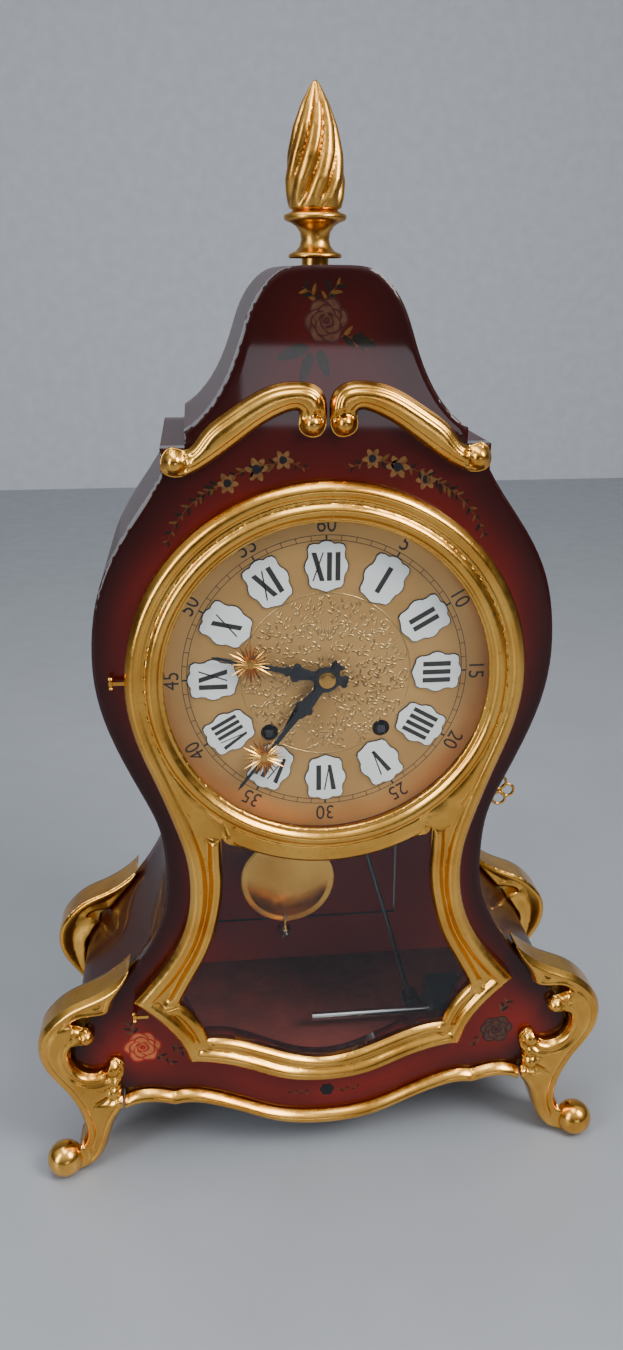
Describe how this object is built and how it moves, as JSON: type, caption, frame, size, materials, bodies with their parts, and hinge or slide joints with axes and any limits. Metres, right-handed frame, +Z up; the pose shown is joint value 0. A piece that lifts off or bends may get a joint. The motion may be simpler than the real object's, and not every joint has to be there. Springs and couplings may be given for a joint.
{
  "type": "mantel clock",
  "caption": "Waisted mantel clock with a hinged gilt door, round dial, swinging pendulum, wheel trains, gong, back door, scroll mounts and curled feet.",
  "frame": {"origin": "centre of the overall bounding box in plan, on the table under the feet", "axes": "+X to the right seen from the front, +Y towards the back, +Z up"},
  "size_m": [0.3166, 0.142, 0.5598],
  "materials": {
    "lacquer": "gloss dark red lacquer with painted flowers",
    "gilt": "bright gilt, darker in the hollows",
    "dial_brass": "satin gilt with embossed foliage",
    "enamel": "glossy white enamel with dark numerals",
    "crystal": "clear polished",
    "movement_brass": "brushed",
    "steel": "polished",
    "hand_steel": "blued almost black",
    "inner_wood": "dark stained, matt",
    "iron": "black"
  },
  "bodies": {
    "case": {"front_panel": "lacquer", "side_wall_left": "lacquer", "side_wall_right": "lacquer", "crown_cover": "lacquer", "shoulder_ledges": "lacquer", "floor_board": "inner_wood", "back_panel": "lacquer", "hinge_posts": "gilt", "scroll_mount_right": "gilt", "scroll_mount_left": "gilt", "skirt_moulding": "gilt", "front_foot_right": "gilt", "front_foot_left": "gilt", "back_foot_right": "gilt", "back_foot_left": "gilt", "finial": "gilt", "dial_plate": "dial_brass", "numeral_badges": "enamel", "front_plate": "movement_brass", "back_plate": "movement_brass", "plate_pillars": "movement_brass", "movement_straps": "steel", "pendulum_cock": "movement_brass", "gong_block": "iron", "gong_rod": "steel", "lock_case": "movement_brass"},
    "front_door": {"door_frame": "gilt", "dial_glass": "crystal", "window_glass": "crystal", "door_fittings": "gilt"},
    "back_door": {"back_door": "lacquer", "back_knuckles": "gilt"},
    "back_catch": {"back_catch": "gilt"},
    "minute_hand": {"minute_hand": "hand_steel", "minute_sunburst": "gilt", "hand_nut": "gilt", "cannon_pinion": "movement_brass"},
    "hour_hand": {"hour_hand": "hand_steel", "hour_sunburst": "gilt", "hour_wheel": "movement_brass"},
    "minute_wheel": {"minute_wheel": "movement_brass"},
    "centre_wheel": {"centre_wheel": "movement_brass"},
    "second_wheel": {"second_wheel": "movement_brass"},
    "third_wheel": {"third_wheel": "movement_brass"},
    "escape_wheel": {"escape_wheel": "movement_brass"},
    "going_barrel": {"going_barrel": "movement_brass"},
    "strike_barrel": {"strike_barrel": "movement_brass"},
    "winding_arbor_right": {"winding_arbor_right": "steel"},
    "winding_arbor_left": {"winding_arbor_left": "steel"},
    "pin_wheel": {"pin_wheel": "movement_brass"},
    "strike_fly": {"strike_fly": "movement_brass"},
    "anchor": {"anchor": "steel"},
    "pendulum": {"suspension_spring": "steel", "pendulum_rod": "steel", "pendulum_bob": "gilt"},
    "rating_nut": {"rating_nut": "steel"},
    "strike_hammer": {"strike_hammer": "steel"},
    "lock_bolt": {"lock_bolt": "steel"},
    "door_key": {"door_key": "gilt"}
  },
  "joints": [
    {"name": "front_door_hinge", "type": "hinge", "parent": "case", "child": "front_door", "pos_m": [-0.1045, -0.059, 0.292], "axis": [0, 0, -1], "range_deg": [0, 90]},
    {"name": "back_door_hinge", "type": "hinge", "parent": "case", "child": "back_door", "pos_m": [-0.0595, 0.058, 0.202], "axis": [0, 0, 1], "range_deg": [0, 110]},
    {"name": "back_catch_turn", "type": "hinge", "parent": "back_door", "child": "back_catch", "pos_m": [0.048, 0.055, 0.232], "axis": [0, -1, 0], "range_deg": [0, 90]},
    {"name": "minute_hand_turn", "type": "hinge", "parent": "case", "child": "minute_hand", "pos_m": [0, -0.055, 0.292], "axis": [0, 1, 0], "continuous": true},
    {"name": "hour_hand_turn", "type": "hinge", "parent": "case", "child": "hour_hand", "pos_m": [0, -0.055, 0.292], "axis": [0, 1, 0], "continuous": true},
    {"name": "minute_wheel_turn", "type": "hinge", "parent": "case", "child": "minute_wheel", "pos_m": [0, -0.045, 0.28], "axis": [0, 1, 0], "continuous": true},
    {"name": "escape_wheel_turn", "type": "hinge", "parent": "case", "child": "escape_wheel", "pos_m": [0, -0.025, 0.3312], "axis": [0, 1, 0], "continuous": true},
    {"name": "third_wheel_turn", "type": "hinge", "parent": "case", "child": "third_wheel", "pos_m": [-0.00753, -0.025, 0.31267], "axis": [0, 1, 0], "continuous": true},
    {"name": "centre_wheel_turn", "type": "hinge", "parent": "case", "child": "centre_wheel", "pos_m": [0, -0.025, 0.292], "axis": [0, 1, 0], "continuous": true},
    {"name": "second_wheel_turn", "type": "hinge", "parent": "case", "child": "second_wheel", "pos_m": [0.0228, -0.025, 0.292], "axis": [0, 1, 0], "continuous": true},
    {"name": "going_barrel_turn", "type": "hinge", "parent": "case", "child": "going_barrel", "pos_m": [0.0283, -0.025, 0.2624], "axis": [0, 1, 0], "continuous": true},
    {"name": "winding_arbor_right_turn", "type": "hinge", "parent": "case", "child": "winding_arbor_right", "pos_m": [0.0283, -0.025, 0.2624], "axis": [0, 1, 0], "continuous": true},
    {"name": "winding_arbor_left_turn", "type": "hinge", "parent": "case", "child": "winding_arbor_left", "pos_m": [-0.0283, -0.025, 0.2624], "axis": [0, 1, 0], "continuous": true},
    {"name": "pin_wheel_turn", "type": "hinge", "parent": "case", "child": "pin_wheel", "pos_m": [-0.0228, -0.025, 0.292], "axis": [0, 1, 0], "continuous": true},
    {"name": "strike_barrel_turn", "type": "hinge", "parent": "case", "child": "strike_barrel", "pos_m": [-0.0283, -0.025, 0.2624], "axis": [0, 1, 0], "continuous": true},
    {"name": "strike_fly_turn", "type": "hinge", "parent": "case", "child": "strike_fly", "pos_m": [-0.0342, -0.025, 0.309], "axis": [0, 1, 0], "continuous": true},
    {"name": "pendulum_swing", "type": "hinge", "parent": "case", "child": "pendulum", "pos_m": [0, 0.011, 0.3467], "axis": [0, 1, 0], "range_deg": [-9.6, 1.4]},
    {"name": "anchor_rock", "type": "hinge", "parent": "case", "child": "anchor", "pos_m": [0, -0.018, 0.3467], "axis": [0, 1, 0], "range_deg": [-9.6, 1.4]},
    {"name": "rating_nut_turn", "type": "hinge", "parent": "pendulum", "child": "rating_nut", "pos_m": [0, 0.011, 0.3467], "axis": [0.0715, 0, 0.9974], "continuous": true},
    {"name": "hammer_swing", "type": "hinge", "parent": "case", "child": "strike_hammer", "pos_m": [0.025, -0.015, 0.228], "axis": [1, 0, 0], "range_deg": [0, 10]},
    {"name": "key_turn", "type": "hinge", "parent": "case", "child": "door_key", "pos_m": [0.085, -0.038, 0.217], "axis": [1, 0, 0], "range_deg": [0, 90]},
    {"name": "lock_bolt_slide", "type": "slide", "parent": "case", "child": "lock_bolt", "axis": [-1, 0, 0], "range_m": [0, 0.006]}
  ],
  "couplings": [
    {"joint": "hour_hand_turn", "follows": "minute_hand_turn", "ratio": 0.083333},
    {"joint": "minute_wheel_turn", "follows": "minute_hand_turn", "ratio": -0.33333},
    {"joint": "third_wheel_turn", "follows": "escape_wheel_turn", "ratio": -0.086957},
    {"joint": "centre_wheel_turn", "follows": "escape_wheel_turn", "ratio": 0.0086957},
    {"joint": "second_wheel_turn", "follows": "escape_wheel_turn", "ratio": -0.0016304},
    {"joint": "going_barrel_turn", "follows": "escape_wheel_turn", "ratio": 0.00028772},
    {"joint": "strike_barrel_turn", "follows": "pin_wheel_turn", "ratio": -0.17647},
    {"joint": "strike_fly_turn", "follows": "pin_wheel_turn", "ratio": -7.5},
    {"joint": "anchor_rock", "follows": "pendulum_swing", "ratio": 1},
    {"joint": "lock_bolt_slide", "follows": "key_turn", "m_per_rad": 0.0038}
  ]
}
